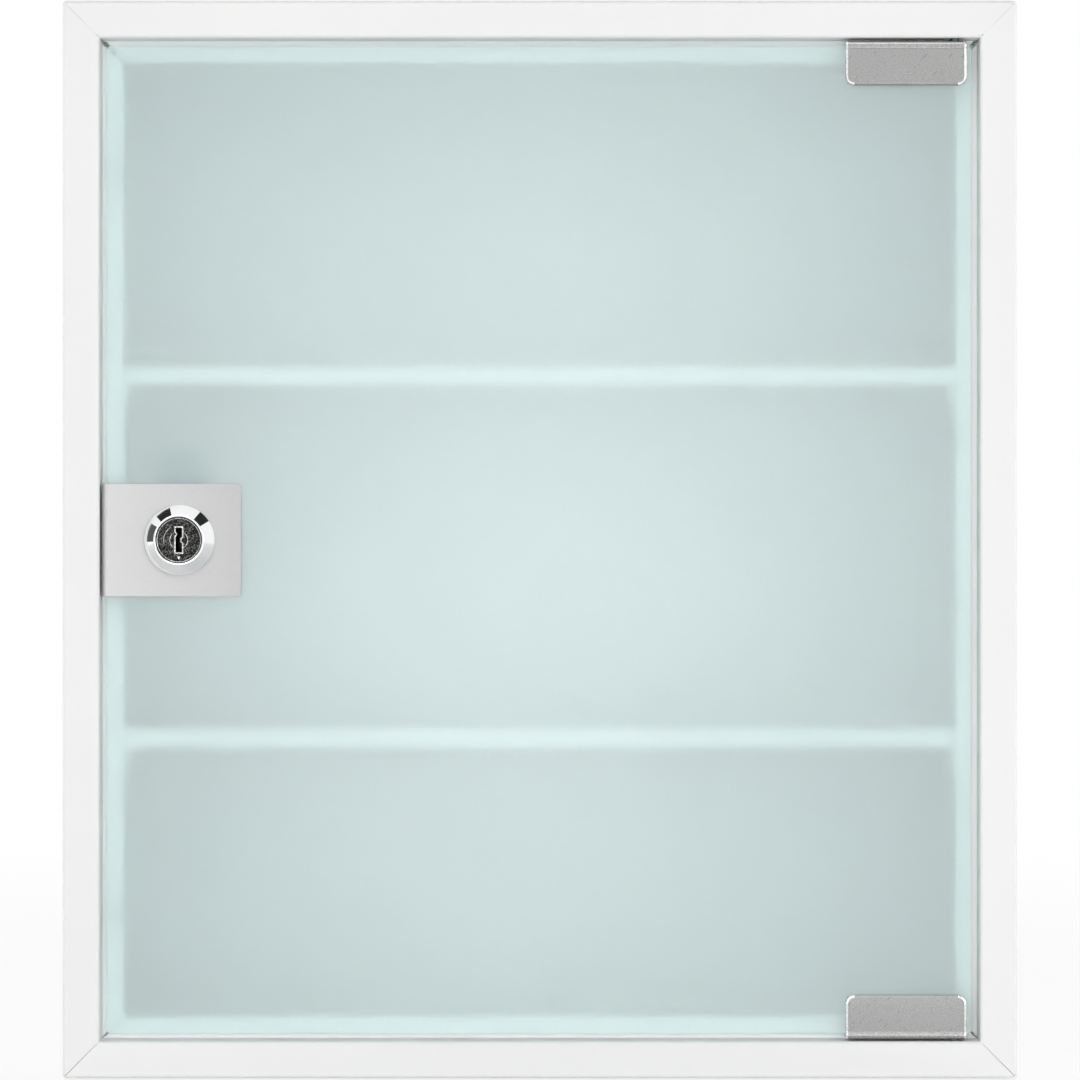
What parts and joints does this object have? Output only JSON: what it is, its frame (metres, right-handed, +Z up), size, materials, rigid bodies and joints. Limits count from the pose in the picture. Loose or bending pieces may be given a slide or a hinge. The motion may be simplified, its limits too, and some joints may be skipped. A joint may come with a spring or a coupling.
{
  "type": "glass door medical cabinet",
  "caption": "Shallow wall cabinet of folded white steel with shelves and a frosted glass door on pivot clips, closed by a keyed cam lock.",
  "frame": {"origin": "middle of the back panel's rear face, which lies against the wall", "axes": "+X right as seen from the front, +Y into the wall, +Z up"},
  "size_m": [0.31, 0.1235, 0.35],
  "materials": {
    "white_paint": "white satin powder coat",
    "frosted_glass": "acid-frosted tempered glass with ground edges",
    "brushed_steel": "brushed stainless steel",
    "satin_steel": "pale satin steel",
    "polished_chrome": "polished chrome plate",
    "dark_nickel": "dark antique nickel",
    "zinc_plate": "bright zinc plate",
    "white_nylon": "white moulded nylon",
    "clear_liner": "thin translucent plastic liner",
    "clear_silicone": "clear silicone pad"
  },
  "bodies": {
    "cabinet": {"left_wall": "white_paint", "right_wall": "white_paint", "top_wall": "white_paint", "bottom_wall": "white_paint", "back_panel": "white_paint", "lower_shelf": "white_paint", "lower_left_bearer": "white_paint", "lower_right_bearer": "white_paint", "upper_shelf": "white_paint", "upper_left_bearer": "white_paint", "upper_right_bearer": "white_paint", "upper_bumper": "clear_silicone", "lower_bumper": "clear_silicone", "top_pivot_bush": "white_nylon", "bottom_pivot_bush": "white_nylon"},
    "door": {"top_hinge_clip": "brushed_steel", "top_clip_liner": "clear_liner", "top_pivot_pin": "zinc_plate", "top_clip_screw_left": "zinc_plate", "top_clip_screw_right": "zinc_plate", "bottom_hinge_clip": "brushed_steel", "bottom_clip_liner": "clear_liner", "bottom_pivot_pin": "zinc_plate", "bottom_clip_screw_left": "zinc_plate", "bottom_clip_screw_right": "zinc_plate", "glass_pane": "frosted_glass", "lock_bracket": "satin_steel", "lock_liner": "clear_liner", "lock_barrel": "polished_chrome", "lock_washer": "zinc_plate", "lock_nut": "zinc_plate"},
    "lock_core": {"lock_plug": "dark_nickel", "lock_wafer_1": "zinc_plate", "lock_wafer_2": "zinc_plate", "lock_wafer_3": "zinc_plate", "lock_wafer_4": "zinc_plate", "lock_wafer_5": "zinc_plate", "lock_cam": "zinc_plate", "cam_washer": "zinc_plate", "cam_screw": "zinc_plate"}
  },
  "joints": [
    {"name": "door_swing", "type": "hinge", "parent": "cabinet", "child": "door", "pos_m": [0.135, -0.1155, 0], "axis": [0, 0, 1], "range_deg": [0, 110]},
    {"name": "lock_turn", "type": "hinge", "parent": "door", "child": "lock_core", "pos_m": [-0.117, -0.119, -0.0002], "axis": [0, -1, 0], "range_deg": [0, 90]}
  ]
}
